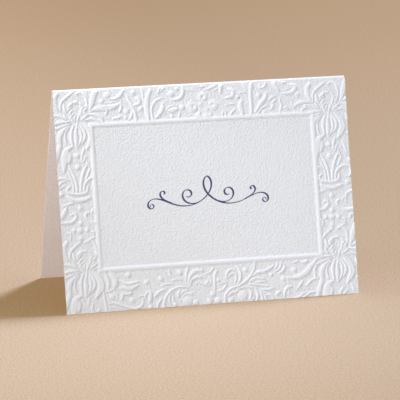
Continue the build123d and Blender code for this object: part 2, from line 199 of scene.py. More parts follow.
# Iris, with its hanging petals and leaves
IRIS = (
    # standing blades
    (((2.9, 9.4), (3.0, 6.6), (4.4, 4.3), (8.2, 1.5)), (0.7, 1.2, 0.9)),
    (((2.1, 8.9), (0.7, 6.7), (0.6, 3.7), (1.9, 1.5)), (0.6, 2.3, 1.5)),
    (((10.1, 2.1), (12.0, 1.3), (13.9, 2.8), (14.5, 5.6), (14.6, 8.8)), (0.8, 1.2, 0.8)),
    (((15.3, 9.8), (16.6, 6.5), (17.5, 3.5), (19.4, -0.4)), (0.4, 2.5, 3.0)),
    # petals of the head
    (((5.8, 8.3), (7.1, 6.9), (8.4, 5.4)), (0.6, 1.8, 0.6)),
    (((8.5, 5.9), (9.8, 5.5), (11.0, 6.0)), (0.5, 1.3, 0.5)),
    (((11.1, 5.8), (12.2, 6.8), (12.9, 8.4)), (0.6, 1.4, 0.5)),
    (((14.6, 6.7), (13.9, 8.3), (13.1, 10.3)), (0.5, 1.5, 0.5)),
    (((4.3, 5.8), (4.7, 8.0), (5.5, 10.1)), (0.5, 1.6, 0.5)),
    (((4.0, 9.6), (4.6, 11.2), (5.8, 12.8)), (0.5, 1.1, 0.4)),
    (((7.6, 8.6), (7.0, 10.3), (7.5, 12.1), (8.1, 13.7)), (0.5, 1.4, 0.4)),
    (((6.2, 9.0), (7.1, 8.1), (8.1, 7.3)), (0.3, 0.8, 0.3)),
    (((11.9, 7.8), (11.8, 9.6), (11.2, 11.7)), (0.5, 1.2, 0.5)),
    (((9.1, 11.1), (8.8, 12.4), (8.7, 13.8)), (0.5, 0.9, 0.4)),
    (((10.8, 10.9), (10.4, 12.4), (9.8, 13.9)), (0.5, 1.0, 0.4)),
    (((11.6, 13.2), (13.3, 11.8), (15.2, 10.6)), (0.4, 1.6, 0.5)),
    # scales of the head
    (((5.6, 9.7), (6.4, 8.4), (7.6, 7.7)), (0.4, 0.9, 0.4)),
    (((6.1, 11.1), (7.1, 9.7), (8.4, 8.9)), (0.4, 0.9, 0.4)),
    (((6.6, 12.5), (7.6, 11.1), (8.8, 10.3)), (0.4, 0.9, 0.4)),
    (((12.1, 9.0), (12.9, 7.8), (14.0, 7.1)), (0.4, 0.8, 0.4)),
    (((12.2, 10.4), (13.1, 9.2), (14.3, 8.6)), (0.4, 0.8, 0.4)),
    (((11.6, 12.3), (12.7, 10.8), (14.2, 10.0)), (0.4, 0.9, 0.4)),
    # rays to the left
    (((-0.8, 10.7), (2.4, 11.2), (5.4, 12.9)), (1.2, 1.3, 0.4)),
    (((-0.8, 14.6), (3.0, 13.7), (7.0, 13.7)), (1.1, 1.5, 0.4)),
    (((-0.8, 16.9), (3.0, 15.6), (7.3, 14.4)), (0.9, 1.2, 0.4)),
    # hanging petals
    (((6.4, 15.4), (3.4, 17.4), (1.7, 20.4), (2.1, 24.6)), (0.5, 2.3, 1.2)),
    (((7.2, 15.5), (4.9, 17.5), (4.1, 20.0), (4.8, 23.6)), (0.4, 1.0, 0.5)),
    (((8.4, 15.2), (7.2, 17.4), (6.8, 20.4), (7.3, 24.0)), (0.4, 1.6, 0.6)),
    (((9.0, 16.6), (9.0, 20.4), (8.8, 24.6)), (0.6, 1.9, 0.7)),
    (((10.2, 15.5), (11.2, 18.6), (11.0, 21.8), (8.9, 25.2)), (0.5, 1.2, 0.5)),
    (((11.0, 15.3), (12.6, 17.9), (12.8, 20.6), (11.3, 23.2)), (0.5, 1.5, 0.6)),
    (((12.3, 15.1), (14.9, 17.6), (15.6, 21.4), (13.0, 25.9)), (0.5, 3.0, 0.7)),
    (((9.8, 14.4), (9.6, 15.8), (9.4, 17.2)), (0.5, 1.0, 0.6)),
    (((1.6, 23.8), (0.4, 27.3), (-1.0, 31.0)), (1.8, 2.2, 1.6)),
    # lobed leaf that hangs at the left
    (((4.7, 26.4), (5.3, 28.4), (4.9, 30.6)), (1.4, 2.8, 2.0)),
    (((7.3, 24.2), (4.6, 25.6), (3.4, 28.2), (3.2, 31.2), (2.8, 34.9)), (0.5, 2.9, 0.4)),
    # leaves to the right
    (((15.5, 9.9), (18.4, 8.7), (22.0, 8.7), (26.0, 8.2), (29.4, 6.7)), (0.4, 2.7, 0.6)),
    (((22.9, 9.0), (22.9, 10.2), (22.3, 11.6)), (1.6, 1.2, 0.4)),
    (((29.2, 7.0), (29.3, 8.8), (28.5, 10.8)), (0.9, 1.3, 0.5)),
    (((14.8, 10.7), (17.8, 11.2), (20.0, 12.4), (21.1, 14.6)), (0.4, 1.9, 0.8)),
    (((12.4, 13.7), (15.6, 12.9), (18.0, 13.4), (20.0, 14.6)), (0.4, 1.3, 0.8)),
    # narrow petals beside the last hanging one
    (((17.4, 15.2), (18.8, 19.0), (18.4, 23.0)), (0.6, 1.4, 0.5)),
    (((19.6, 15.4), (21.9, 18.6), (21.4, 22.4)), (1.0, 2.5, 0.6)),
    (((17.4, 23.5), (19.4, 23.1), (21.5, 22.5)), (0.6, 1.1, 0.6)),
    (((21.1, 23.2), (21.9, 24.9), (22.5, 26.6)), (0.4, 0.8, 0.4)),
)

# Stems and urn between two irises
COLUMN = (
    # sprigs beside the two pearls
    (((12.2, 25.1), (11.2, 27.6), (10.7, 30.6)), (0.5, 1.0, 0.6)),
    (((12.5, 28.7), (11.9, 30.2), (11.0, 31.4)), (0.5, 1.0, 0.4)),
    (((12.6, 30.3), (13.3, 32.0), (13.9, 33.9)), (0.5, 1.0, 0.5)),
    (((15.2, 26.7), (15.9, 29.5), (17.0, 32.6)), (0.5, 1.0, 0.5)),
    # stems that rise from the urn
    (((4.8, 32.0), (6.6, 36.0), (7.7, 40.0), (8.0, 43.8)), (0.5, 1.3, 1.0)),
    (((4.0, 33.4), (5.4, 37.0), (6.3, 40.5), (6.5, 43.8)), (0.4, 0.8, 0.8)),
    (((12.8, 32.3), (11.0, 35.8), (9.9, 39.5), (9.4, 43.8)), (0.6, 1.4, 0.9)),
    (((14.3, 33.7), (13.0, 36.4), (12.0, 38.8)), (0.6, 1.0, 0.4)),
    (((10.9, 43.8), (11.4, 40.5), (14.0, 38.1), (17.0, 38.1), (18.4, 40.3), (17.2, 42.4), (15.6, 42.1)),
     (1.0, 1.4, 1.1)),
    # urn: curled rim and the band under it
    (((4.9, 41.2), (3.6, 42.2), (4.6, 43.9), (8.5, 44.6), (12.0, 43.9), (12.6, 41.4)), (0.9, 1.5, 1.0)),
    (((3.9, 45.6), (6.2, 47.0), (9.6, 47.2), (13.3, 46.2)), (1.1, 2.0, 1.3)),
    # scrolls at the sides
    (((-0.8, 37.8), (2.4, 37.6), (5.4, 38.7)), (1.1, 1.1, 0.4)),
    (((3.6, 38.8), (1.4, 39.3), (-0.4, 41.2)), (0.5, 1.0, 0.9)),
    (((-0.6, 42.0), (1.2, 41.4), (3.0, 40.4)), (0.8, 0.9, 0.4)),
    (((1.2, 49.6), (3.6, 48.7), (6.3, 47.9)), (0.5, 1.1, 0.5)),
    (((3.0, 49.6), (1.8, 52.0), (0.0, 54.6)), (0.5, 2.0, 1.2)),
    (((4.7, 53.2), (6.1, 52.7), (6.7, 54.3), (4.9, 56.1), (2.3, 56.5), (-0.8, 56.4)), (1.0, 1.5, 1.5)),
    (((17.9, 48.9), (15.6, 50.1), (14.8, 52.3), (15.4, 54.2)), (1.0, 1.2, 0.4)),
    (((12.0, 55.8), (14.6, 57.0), (19.0, 56.9)), (0.4, 1.6, 1.6)),
    (((13.3, 53.2), (13.7, 52.2), (14.4, 51.1)), (0.5, 1.0, 0.6)),
    (((12.5, 52.7), (11.1, 52.9), (10.8, 54.3), (12.0, 55.5)), (0.6, 1.2, 0.6)),
    # commas under the row of pearls
    (((1.9, 61.2), (3.5, 60.9), (3.9, 62.5), (3.4, 64.0)), (0.6, 1.1, 0.4)),
    (((12.7, 61.1), (13.9, 60.9), (13.9, 62.6)), (0.6, 1.0, 0.5)),
    (((10.1, 65.1), (11.9, 64.1), (14.4, 63.2)), (0.4, 1.1, 0.8)),
    (((16.0, 60.8), (16.9, 59.3), (18.6, 58.9)), (0.7, 1.1, 0.6)),
)
COLUMN_PEARLS = (
    (8.8, 28.2, 1.2), (8.8, 33.2, 1.2), (0.7, 44.4, 1.1), (8.7, 50.6, 1.1), (8.3, 57.0, 1.1),
    (5.3, 59.9, 1.0), (8.1, 59.9, 1.3), (11.1, 59.9, 1.1), (7.9, 63.5, 1.1), (17.5, 35.5, 0.9),
    (16.3, 45.0, 1.2),
)

# Band beside the fold, with the rosette
TOP = (
    (((24.2, 4.9), (27.3, 4.7), (29.8, 2.9), (31.5, -0.4)), (0.6, 1.5, 1.5)),
    (((21.8, 6.6), (26.0, 6.3), (29.6, 5.4)), (0.3, 0.7, 0.3)),
    (((31.7, 2.6), (32.6, 5.3), (34.0, 8.0), (35.1, 11.0), (35.6, 15.0)), (0.5, 1.3, 1.6)),
    (((36.3, 5.2), (37.6, 6.1), (37.0, 7.6), (34.4, 8.1)), (1.2, 1.6, 0.5)),
    (((34.1, 11.1), (33.6, 12.8), (32.3, 14.2)), (0.4, 1.1, 0.6)),
    (((25.2, 13.4), (27.5, 13.1), (29.7, 12.4)), (0.4, 1.1, 0.4)),
    (((42.5, 2.2), (41.1, 5.2), (40.5, 9.2), (41.0, 15.0)), (1.5, 2.4, 1.3)),
    (((38.9, -0.4), (39.2, 4.0), (39.4, 8.0)), (0.7, 0.8, 0.4)),
    (((47.8, 5.6), (44.9, 6.6), (43.1, 8.8), (42.5, 11.4), (43.1, 15.0)), (0.5, 1.1, 1.2)),
    (((47.4, 7.6), (47.6, 9.8), (46.3, 12.0), (44.2, 14.2)), (0.5, 2.0, 0.6)),
    (((47.4, -0.4), (46.6, 1.8), (45.7, 3.8)), (1.0, 1.1, 0.5)),
    (((50.2, -0.1), (48.4, 1.4), (46.8, 3.2)), (0.8, 0.9, 0.4)),
    (((56.9, 1.2), (57.0, 3.5), (55.8, 5.7), (53.5, 6.6), (51.4, 6.3)), (0.9, 1.5, 0.5)),
    (((49.6, 11.2), (51.6, 11.2), (54.0, 10.6)), (0.6, 2.3, 1.0)),
    (((47.7, 13.1), (49.2, 10.8), (51.2, 9.2), (54.4, 9.1)), (0.4, 0.7, 0.4)),
    (((55.0, 12.2), (54.7, 13.3), (54.3, 14.8)), (0.5, 0.9, 0.8)),
    (((58.1, 10.3), (59.4, 8.6), (61.0, 7.3)), (0.5, 1.0, 0.6)),
    (((57.9, 2.3), (60.4, 3.0), (62.4, 3.3)), (0.4, 0.7, 0.4)),
    (((67.1, 3.1), (70.4, 1.9), (73.6, 0.1)), (0.4, 1.3, 1.0)),
    (((70.0, 3.9), (71.4, 3.3), (72.8, 2.5)), (0.4, 0.8, 0.4)),
    (((75.6, -0.2), (73.9, 1.9), (73.5, 4.8)), (1.5, 1.7, 0.8)),
    (((77.4, 3.3), (79.1, 4.2), (78.5, 6.4), (75.1, 7.2)), (1.4, 1.9, 0.5)),
    (((75.9, 5.0), (76.8, 5.3), (77.7, 5.2)), (0.4, 0.8, 0.4)),
    (((81.7, 5.7), (83.3, 4.9), (85.3, 5.2)), (0.4, 0.9, 0.4)),
    (((75.5, 10.1), (77.6, 9.7), (79.8, 10.1)), (0.4, 0.9, 0.4)),
    (((82.7, 8.6), (82.1, 10.6), (82.9, 15.0)), (1.3, 2.3, 1.4)),
    (((73.8, 15.0), (74.1, 13.0), (75.1, 12.7), (75.5, 15.0)), (0.8, 0.9, 0.8)),
    (((77.2, 14.8), (78.3, 13.2), (79.7, 12.0)), (0.9, 1.0, 0.5)),
    (((83.1, -0.4), (84.1, 2.2), (85.1, 4.2)), (0.9, 0.9, 0.4)),
    (((87.9, -0.4), (87.3, 3.0), (86.9, 6.4), (87.0, 10.6), (86.8, 15.0)), (1.8, 1.5, 1.6)),
    (((94.1, -0.4), (93.9, 1.9), (92.7, 3.4), (91.2, 3.1), (91.2, 2.2)), (1.2, 1.3, 1.0)),
    (((94.1, 5.5), (93.3, 8.0), (91.0, 10.6), (88.7, 13.8)), (0.5, 1.9, 1.0)),
    (((94.9, 11.3), (92.0, 12.1), (89.6, 14.8)), (0.4, 1.0, 1.0)),
    (((95.1, 9.1), (96.3, 7.9), (98.0, 7.5)), (0.4, 1.3, 0.6)),
    (((96.2, 10.1), (97.5, 9.4), (98.7, 8.5)), (0.4, 1.2, 0.5)),
    (((96.8, 10.6), (96.5, 11.9), (95.4, 13.3)), (0.5, 1.3, 0.4)),
    (((100.1, 8.3), (99.8, 9.8), (100.6, 11.5), (99.4, 14.8)), (0.4, 1.1, 0.9)),
    (((101.1, 13.1), (102.1, 12.7), (103.2, 12.1)), (0.5, 0.8, 0.4)),
    (((101.7, 14.2), (102.8, 13.7), (103.9, 13.0)), (0.5, 0.8, 0.4)),
    (((97.1, -0.4), (98.0, 2.5), (100.0, 5.2)), (1.7, 1.9, 0.5)),
    (((105.4, 2.8), (107.2, 3.6), (106.4, 5.6), (103.9, 6.5), (100.8, 6.4)), (1.5, 1.9, 0.5)),
    (((105.3, 4.3), (103.5, 4.9), (101.2, 5.1)), (0.5, 0.7, 0.4)),
    (((106.4, 12.2), (109.0, 10.8), (112.4, 10.5), (115.6, 10.8)), (0.7, 1.9, 0.8)),
    (((109.2, 14.8), (111.0, 13.1), (114.8, 12.4)), (0.9, 1.2, 0.5)),
    (((104.9, 10.4), (105.6, 12.0), (106.4, 13.6)), (0.4, 0.7, 0.4)),
)
TOP_PEARLS = (
    (20.9, 5.7, 1.0), (23.5, 3.2, 1.5), (34.9, 2.7, 1.1), (37.9, 9.5, 1.2), (31.6, 10.6, 1.1),
    (31.0, 13.2, 0.7), (51.5, 4.1, 1.5), (54.3, 2.0, 0.9), (56.2, 10.1, 1.2), (51.4, 13.6, 0.7),
    (65.5, 1.2, 0.9), (81.0, 6.9, 0.9), (90.6, 6.6, 1.2), (92.7, 14.0, 0.8), (101.4, 0.4, 2.2),
    (108.0, 7.1, 1.1), (65.5, 6.1, 2.3), (70.0, 9.9, 2.4), (60.8, 10.2, 2.4), (63.5, 14.4, 2.1),
    (67.3, 14.3, 2.1), (65.7, 10.3, 2.5),
)
ROSETTE_PITS = (
    (65.7, 10.4, 2.1), (65.5, 6.2, 0.9), (61.1, 10.0, 0.9),
    (69.5, 9.8, 0.9), (64.5, 13.5, 0.7), (67.7, 13.1, 0.7),
)

# Band above the foot
BOTTOM = (
    # sprigs in the two corners at the foot
    (((10.3, 88.6), (9.8, 90.4), (9.5, 92.2)), (0.5, 1.0, 0.5)),
    (((11.7, 91.4), (11.1, 93.3), (11.5, 95.6)), (0.5, 1.0, 0.8)),
    (((12.9, 95.0), (13.8, 94.4), (14.8, 93.8)), (0.5, 0.9, 0.5)),
    (((15.0, 79.6), (16.1, 84.0), (16.6, 88.6), (17.5, 95.6)), (0.5, 1.0, 0.9)),
    (((121.4, 95.6), (122.1, 93.4), (123.7, 91.8)), (0.8, 1.1, 0.4)),
    (((123.1, 95.6), (124.2, 94.1), (125.6, 93.0)), (0.6, 0.9, 0.4)),
    (((125.9, 90.0), (127.5, 91.6), (128.0, 94.2)), (0.4, 1.0, 0.5)),
    # lobed leaf at the left
    (((23.6, 82.4), (27.5, 83.9), (32.0, 83.2)), (0.6, 1.6, 0.7)),
    (((24.0, 85.4), (28.0, 86.0), (32.0, 84.7)), (1.0, 2.2, 0.9)),
    (((24.7, 88.1), (27.0, 88.3), (28.9, 87.6)), (0.9, 1.6, 0.8)),
    (((24.8, 87.6), (24.5, 89.2), (23.9, 90.6)), (0.9, 1.4, 0.5)),
    # long scroll
    (((18.5, 92.0), (20.8, 91.8), (24.2, 93.0), (27.6, 94.3), (30.9, 94.6), (33.1, 93.1), (33.5, 90.7)),
     (0.6, 1.2, 0.8)),
    (((18.6, 93.3), (21.0, 93.6), (23.4, 95.6)), (0.4, 1.0, 0.8)),
    (((31.1, 90.3), (32.8, 89.5), (34.5, 89.6)), (0.4, 0.8, 0.4)),
    (((36.8, 87.7), (36.8, 90.2), (36.0, 93.0)), (1.2, 1.8, 0.5)),
    (((36.2, 87.8), (35.0, 88.8), (34.2, 90.4)), (0.5, 1.1, 0.5)),
    # left acanthus
    (((38.5, 90.4), (40.8, 88.3), (44.0, 87.3)), (0.5, 1.4, 0.4)),
    (((39.6, 95.8), (40.0, 93.2), (42.0, 91.1)), (1.0, 1.3, 0.5)),
    (((42.3, 95.9), (42.8, 92.4), (44.3, 89.8), (46.8, 87.7), (50.0, 86.9), (54.2, 87.5)),
     (1.2, 1.2, 0.5)),
    (((47.4, 88.3), (45.5, 90.0), (44.9, 92.2), (45.5, 94.3)), (0.4, 1.1, 0.5)),
    (((46.8, 89.5), (46.6, 91.3), (47.4, 93.0)), (0.4, 1.0, 0.5)),
    (((50.3, 87.8), (49.2, 89.4), (49.0, 91.6)), (0.4, 1.2, 0.5)),
    (((50.3, 90.4), (51.2, 88.9), (53.5, 88.4)), (0.5, 1.1, 0.4)),
    (((50.9, 91.4), (52.4, 90.0), (56.0, 90.2)), (0.5, 1.1, 0.5)),
    (((46.6, 84.1), (48.5, 83.4), (51.0, 83.9)), (0.4, 1.0, 0.4)),
    (((41.6, 86.1), (44.3, 85.2), (47.2, 85.4)), (0.4, 1.0, 0.4)),
    (((45.9, 78.9), (45.8, 80.3), (46.6, 81.9)), (0.4, 1.0, 0.4)),
    # plumes
    (((54.3, 78.8), (53.1, 81.5), (52.9, 84.8)), (0.6, 1.2, 0.5)),
    (((53.8, 86.0), (54.8, 82.6), (57.2, 80.5), (60.4, 80.5)), (0.5, 1.8, 1.3)),
    (((54.4, 86.6), (55.4, 84.3), (57.2, 83.3), (59.8, 83.1)), (0.4, 1.4, 1.2)),
    (((56.2, 86.4), (58.6, 85.5), (61.0, 86.7), (62.9, 86.9), (63.9, 85.6), (63.5, 82.8)),
     (0.4, 0.9, 0.5)),
    (((61.0, 82.3), (62.4, 81.9), (64.0, 82.0)), (0.3, 0.9, 0.4)),
    (((63.5, 81.8), (64.3, 80.8), (65.4, 79.6)), (0.4, 0.9, 0.5)),
    (((66.8, 81.1), (65.8, 82.7), (65.5, 85.6), (65.3, 89.8)), (0.9, 1.2, 0.6)),
    (((67.1, 87.0), (69.0, 86.4), (71.4, 86.5)), (0.4, 0.9, 0.4)),
    (((71.0, 86.8), (69.2, 89.0), (66.0, 90.4)), (0.4, 1.0, 0.4)),
    # arches
    (((70.8, 85.2), (71.2, 82.4), (73.0, 80.9), (75.0, 81.4)), (0.5, 1.2, 0.5)),
    (((71.4, 84.6), (72.6, 83.2), (74.7, 82.9), (75.2, 84.8), (74.4, 87.2)), (0.4, 1.1, 0.5)),
    (((75.8, 79.6), (77.1, 82.3), (77.0, 85.0), (75.6, 87.4)), (0.6, 1.3, 0.5)),
    # stem of the spray, and the leaves on it
    (((84.0, 78.4), (83.2, 81.8), (80.5, 85.3), (76.8, 87.8), (72.5, 89.2), (70.0, 91.8), (69.4, 96.0)),
     (1.1, 1.1, 1.1)),
    (((82.4, 84.5), (85.0, 82.9), (88.5, 82.5), (92.0, 80.7)), (0.5, 1.7, 0.8)),
    (((80.9, 86.8), (84.0, 85.4), (87.8, 86.1)), (0.5, 1.4, 0.5)),
    (((82.8, 87.5), (85.6, 87.1), (88.6, 87.3)), (0.4, 1.1, 0.6)),
    (((79.8, 87.8), (85.0, 88.4), (90.0, 89.3)), (0.5, 1.2, 0.5)),
    (((75.4, 89.5), (79.0, 89.1), (82.5, 89.7), (84.7, 91.6)), (0.5, 1.1, 0.5)),
    (((70.6, 92.9), (72.5, 91.1), (76.0, 90.4)), (0.5, 1.2, 0.5)),
    (((80.5, 89.9), (81.4, 92.0), (80.7, 94.7)), (0.5, 1.3, 0.5)),
    (((83.1, 89.9), (84.4, 92.3), (83.5, 95.8)), (0.6, 1.3, 0.9)),
    (((81.2, 95.4), (82.0, 94.4), (82.8, 93.5)), (0.8, 1.0, 0.5)),
    (((85.7, 90.6), (86.2, 93.0), (86.4, 95.8)), (0.5, 1.0, 0.9)),
    (((86.7, 91.2), (87.6, 93.0), (88.0, 95.8)), (0.4, 0.9, 0.9)),
    (((86.2, 90.5), (89.0, 90.7), (91.9, 89.9)), (0.4, 1.3, 0.5)),
    (((87.8, 92.9), (90.0, 93.2), (91.7, 95.6)), (0.4, 1.5, 0.8)),
    (((92.5, 93.6), (93.6, 92.3), (95.1, 91.9)), (0.5, 1.2, 0.4)),
    # fan bud
    (((92.1, 82.3), (93.4, 81.3), (94.3, 79.8)), (0.4, 0.9, 0.5)),
    (((92.4, 83.2), (94.8, 82.0), (95.8, 79.6)), (0.5, 1.2, 0.6)),
    (((94.0, 84.1), (96.0, 83.3), (97.3, 81.3)), (0.5, 1.5, 0.8)),
    (((100.7, 79.8), (102.2, 79.7), (103.9, 79.2)), (0.5, 1.0, 0.5)),
    (((104.5, 79.8), (106.3, 80.0), (107.8, 79.2)), (0.6, 1.5, 0.5)),
    # long leaf and its curls
    (((98.2, 86.3), (102.5, 86.3), (106.5, 84.6), (109.0, 82.0), (112.2, 79.0)), (0.5, 2.5, 0.9)),
    (((98.3, 86.0), (98.2, 87.3), (99.0, 88.7)), (0.5, 0.8, 0.4)),
    (((115.2, 79.0), (112.3, 80.9), (110.7, 83.5), (110.8, 86.8)), (0.6, 1.2, 1.0)),
    (((102.0, 91.5), (103.6, 89.8), (105.0, 88.1)), (0.5, 1.2, 0.5)),
    (((106.1, 90.6), (107.8, 88.9), (109.3, 87.8), (112.2, 87.3)), (0.5, 1.2, 0.8)),
    (((96.3, 94.2), (96.7, 91.8), (98.2, 90.3), (100.0, 90.3)), (0.5, 1.3, 0.5)),
    (((98.2, 93.8), (98.4, 92.3), (99.4, 91.5)), (0.4, 0.8, 0.3)),
    (((99.6, 95.4), (102.8, 94.8), (104.8, 93.6), (106.7, 92.9)), (0.7, 1.1, 0.4)),
    (((103.9, 95.8), (106.2, 94.3), (108.2, 93.4), (110.8, 93.2)), (0.8, 1.2, 0.7)),
)
BOTTOM_PEARLS = (
    (27.7, 80.2, 1.2), (35.4, 83.8, 1.2), (41.9, 82.8, 1.2), (20.1, 88.9, 1.3), (28.7, 91.1, 1.2),
    (50.2, 80.7, 1.3), (53.3, 92.8, 2.2), (47.3, 94.3, 1.1), (56.6, 94.0, 1.2), (62.7, 93.8, 1.3),
    (66.5, 93.8, 1.3), (62.2, 85.6, 0.9), (67.1, 85.2, 0.9), (64.3, 90.9, 1.2), (79.5, 81.6, 1.1),
    (77.5, 92.6, 2.2), (72.2, 93.9, 1.2), (90.9, 84.4, 0.8), (96.3, 86.5, 1.3), (101.4, 83.0, 1.2),
    (36.6, 94.4, 1.0),
)


def curve_through(points, steps=12):
    """Close samples of a smooth curve through the points of a stroke."""
    p = np.array(points, float)
    p = np.vstack([2 * p[0] - p[1], p, 2 * p[-1] - p[-2]])
    samples = []
    for a, b, c, d in zip(p, p[1:], p[2:], p[3:]):
        for t in np.arange(steps) / steps:
            bend = (2 * a - 5 * b + 4 * c - d) * t ** 2 + (3 * b - a - 3 * c + d) * t ** 3
            samples.append(b + ((c - a) * t + bend) / 2)
    samples.append(p[-2])
    return np.array(samples)


def stroke_width(widths, share):
    """Width of a stroke at a share of its length: full in the middle, slimmer at its ends."""
    start, middle, end = widths
    side = np.where(share < 0.5, start, end)
    return middle - (middle - side) * (1 - 2 * share) ** 2


def ornament():
    """Every stroke and pearl of the border, moved to its place."""
    groups = [(TOP, TOP_PEARLS, 0, 0), (BOTTOM, BOTTOM_PEARLS, 0, 0)]
    for x, y in ((0, 0), (RIGHT_SHIFT, RIGHT_DROP)):
        groups.append((IRIS, (), x, y))
        groups.append((IRIS, (), x, y + IRIS_DROP))
        groups.append((COLUMN, COLUMN_PEARLS, x, y))
    strokes = []
    pearls = []
    for group, dots, dx, dy in groups:
        strokes += [([(x + dx, y + dy) for x, y in points], widths) for points, widths in group]
        pearls += [(x + dx, y + dy, radius) for x, y, radius in dots]
    return strokes, pearls


class Relief:
    """Height of the front panel's face over its flat, on the crossings of the mesh lines."""

    def __init__(self, xs, ys):
        self.xs = xs
        self.ys = ys
        self.height = np.zeros((len(ys), len(xs)))

    def window(self, points, reach):
        """The mesh lines round some points, and the distance from each crossing to each point."""
        low = points.min(axis=0) - reach
        high = points.max(axis=0) + reach
        cols = slice(*np.searchsorted(self.xs, (low[0], high[0])))
        rows = slice(*np.searchsorted(self.ys, (low[1], high[1])))
        across = self.xs[cols][None, :, None] - points[:, 0]
        along = self.ys[rows][:, None, None] - points[:, 1]
        return rows, cols, np.hypot(across, along)

    def lift(self, rows, cols, height):
        self.height[rows, cols] = np.maximum(self.height[rows, cols], height)

    def cut_groove(self, rows, cols, inside):
        """Sinks the relief in a narrow line round an outline, from each crossing's depth inside it."""
        groove = np.clip(1 - np.abs(2 * inside / GROOVE_WIDTH + 1), 0, 1)
        self.height[rows, cols] *= 1 - GROOVE_DEPTH * groove

    def stroke(self, points, widths):
        """One stroke, flat topped with steep flanks. A groove parts it from what it crosses."""
        line = curve_through(points)
        steps = np.hypot(*np.diff(line, axis=0).T)
        share = np.concatenate([[0], np.cumsum(steps)]) / steps.sum()
        half = stroke_width(widths, share) / 2
        rows, cols, away = self.window(line, half.max() + GROOVE_WIDTH)
        if away.size == 0:
            return
        inside = (half * STROKE_SHARE - away).max(axis=2)
        from_spine = (away / half).min(axis=2)
        self.cut_groove(rows, cols, inside)
        crest = RELIEF_HEIGHT * min(1.0, THIN_CREST + CREST_GAIN * widths[1])
        profile = np.sin(np.clip(inside / FLANK, 0, 1) * math.pi / 2)
        profile *= 1 - CROWN * np.clip(from_spine, 0, 1) ** 2
        if widths[1] > VEIN_FROM_WIDTH:
            profile *= 1 - VEIN_DEPTH * np.exp(-(from_spine / VEIN_WIDTH) ** 2)
        self.lift(rows, cols, crest * profile)

    def pearl(self, x, y, radius):
        rows, cols, away = self.window(np.array([[x, y]]), radius + GROOVE_WIDTH)
        if away.size == 0:
            return
        self.cut_groove(rows, cols, radius - away[:, :, 0])
        dome = np.sqrt(np.clip(1 - (away[:, :, 0] / radius) ** 2, 0, 1))
        self.lift(rows, cols, RELIEF_HEIGHT * dome)

    def pit(self, x, y, radius):
        """A round dent, steep at its rim and flat inside."""
        rows, cols, away = self.window(np.array([[x, y]]), radius)
        self.height[rows, cols] *= np.clip(away[:, :, 0] / radius, 0, 1) ** 3

    def bead(self):
        """Clears the plain centre and lays the half round moulding on its edge."""
        right = CARD_WIDTH - SIDE_MARGIN
        foot = PANEL_HEIGHT - BOTTOM_MARGIN
        across = np.abs(self.xs - (SIDE_MARGIN + right) / 2) - (right - SIDE_MARGIN - BEAD_WIDTH) / 2
        down = np.abs(self.ys - (TOP_MARGIN + foot) / 2) - (foot - TOP_MARGIN - BEAD_WIDTH) / 2
        off = np.maximum(across[None, :], down[:, None])
        radius = (BEAD_WIDTH ** 2 / 4 + BEAD_HEIGHT ** 2) / (2 * BEAD_HEIGHT)
        arc = np.sqrt(np.clip(radius ** 2 - off ** 2, 0, None)) - radius + BEAD_HEIGHT
        self.height[off < 0] = 0
        self.height = np.maximum(self.height, np.where(np.abs(off) < BEAD_WIDTH / 2, arc, 0))

    def soften(self):
        """Paper can't take a knife-sharp crease, so each crossing is eased with its neighbours."""
        padded = np.pad(self.height, 1, mode="edge")
        share = CREASE_EASE
        rows = padded[1:-1] * (1 - share) + (padded[:-2] + padded[2:]) * share / 2
        self.height = rows[:, 1:-1] * (1 - share) + (rows[:, :-2] + rows[:, 2:]) * share / 2

    def keep_off_the_fold(self):
        clear = np.clip((self.ys - FOLD_MARGIN) / FOLD_EASE, 0, 1)
        self.height *= (clear * clear * (3 - 2 * clear))[:, None]


def front_relief(xs, ys):
    relief = Relief(xs, ys)
    strokes, pearls = ornament()
    for points, widths in strokes:
        relief.stroke(points, widths)
    for pearl in pearls:
        relief.pearl(*pearl)
    for pit in ROSETTE_PITS:
        relief.pit(*pit)
    relief.bead()
    relief.soften()
    relief.keep_off_the_fold()
    return relief.height


BEND_ANGLE = math.pi / 2 - LEAN
BEND_LENGTH = (FOLD_RADIUS - SHEET_THICKNESS / 2) * BEND_ANGLE
PANEL_RUN = PANEL_HEIGHT - BEND_LENGTH
FOLD_CENTRE = PANEL_RUN * math.cos(LEAN) - (FOLD_RADIUS - SHEET_THICKNESS) * math.sin(LEAN)


def on_sheet(x, down, lift):
    """Points of the folded sheet, in metres. x is from the left cut edge, down is from the crest
    of the fold, negative on the back panel, and lift is the height over the outer face."""
    x, down, lift = np.broadcast_arrays(x, down, lift)
    turn = np.clip(down / BEND_LENGTH, -1, 1) * BEND_ANGLE
    run = np.clip(np.abs(down) - BEND_LENGTH, 0, None)
    radius = FOLD_RADIUS + lift
    y = -np.sin(turn) * radius - np.sign(down) * run * math.sin(LEAN)
    z = FOLD_CENTRE + np.cos(turn) * radius - run * math.cos(LEAN)
    return np.stack([x - CARD_WIDTH / 2, y, z], axis=-1) * MM


def mesh_piece(name, points, faces, material):
    mesh = bpy.data.meshes.new(name)
    mesh.from_pydata(points.tolist(), [], faces)
    mesh.materials.append(material)
    mesh.validate()
    piece = bpy.data.objects.new(name, mesh)
    bpy.context.scene.collection.objects.link(piece)
    return piece


def without_loose(points, faces):
    """Leaves out the crossings inside the plain centre, which no face uses."""
    used = np.unique(np.concatenate(faces))
    number = np.zeros(len(points), int)
    number[used] = np.arange(len(used))
    return points[used], [number[face].tolist() for face in faces]


